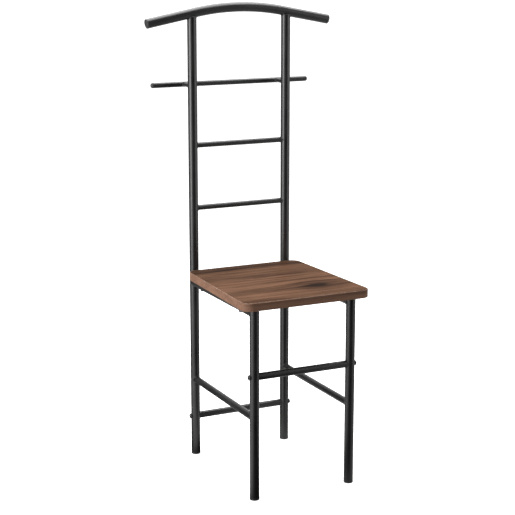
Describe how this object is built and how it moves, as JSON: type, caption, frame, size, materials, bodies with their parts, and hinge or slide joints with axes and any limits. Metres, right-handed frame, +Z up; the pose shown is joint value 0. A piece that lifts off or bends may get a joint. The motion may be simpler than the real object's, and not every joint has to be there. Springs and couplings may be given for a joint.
{
  "type": "valet stand",
  "caption": "Valet stand with a seat: round steel tube frame, bowed hanger bar, trouser bar behind the uprights, rungs and a wood-look seat board on four capped legs.",
  "frame": {"origin": "on the floor, at the middle of the overall width and depth", "axes": "+X to the right and +Y to the back as someone faces the stand, +Z up"},
  "size_m": [0.4556, 0.4036, 1.0537],
  "materials": {
    "black_steel": "satin black powder coat with a fine grain",
    "black_plastic": "moulded matte black",
    "black_fastener": "black oxide, slightly shiny",
    "bare_steel": "zinc plated",
    "walnut_board": "satin walnut laminate, grain across the seat",
    "walnut_edge": "satin walnut edge band"
  },
  "bodies": {
    "root": {"left_front_leg": "black_steel", "left_rear_leg": "black_steel", "left_side_stretcher": "black_steel", "left_seat_rail": "black_steel", "left_upright": "black_steel", "left_trouser_bar_stub": "black_steel", "left_front_foot": "black_plastic", "left_rear_foot": "black_plastic", "left_hanger_plug": "black_plastic", "left_trouser_bar_cap": "black_plastic", "left_front_bolt": "black_fastener", "left_rear_bolt": "black_fastener", "left_front_seat_screw": "black_fastener", "left_rear_seat_screw": "black_fastener", "left_front_insert": "bare_steel", "left_rear_insert": "bare_steel", "left_joint_sleeve": "bare_steel", "right_front_leg": "black_steel", "right_rear_leg": "black_steel", "right_side_stretcher": "black_steel", "right_seat_rail": "black_steel", "right_upright": "black_steel", "right_trouser_bar_stub": "black_steel", "right_front_foot": "black_plastic", "right_rear_foot": "black_plastic", "right_hanger_plug": "black_plastic", "right_trouser_bar_cap": "black_plastic", "right_front_bolt": "black_fastener", "right_rear_bolt": "black_fastener", "right_front_seat_screw": "black_fastener", "right_rear_seat_screw": "black_fastener", "right_front_insert": "bare_steel", "right_rear_insert": "bare_steel", "right_joint_sleeve": "bare_steel", "front_stretcher": "black_steel", "rear_stretcher": "black_steel", "lower_rung": "black_steel", "upper_rung": "black_steel", "hanger_bar": "black_steel", "trouser_bar": "black_steel", "seat_board": "walnut_board", "seat_edge_band": "walnut_edge"}
  },
  "joints": []
}
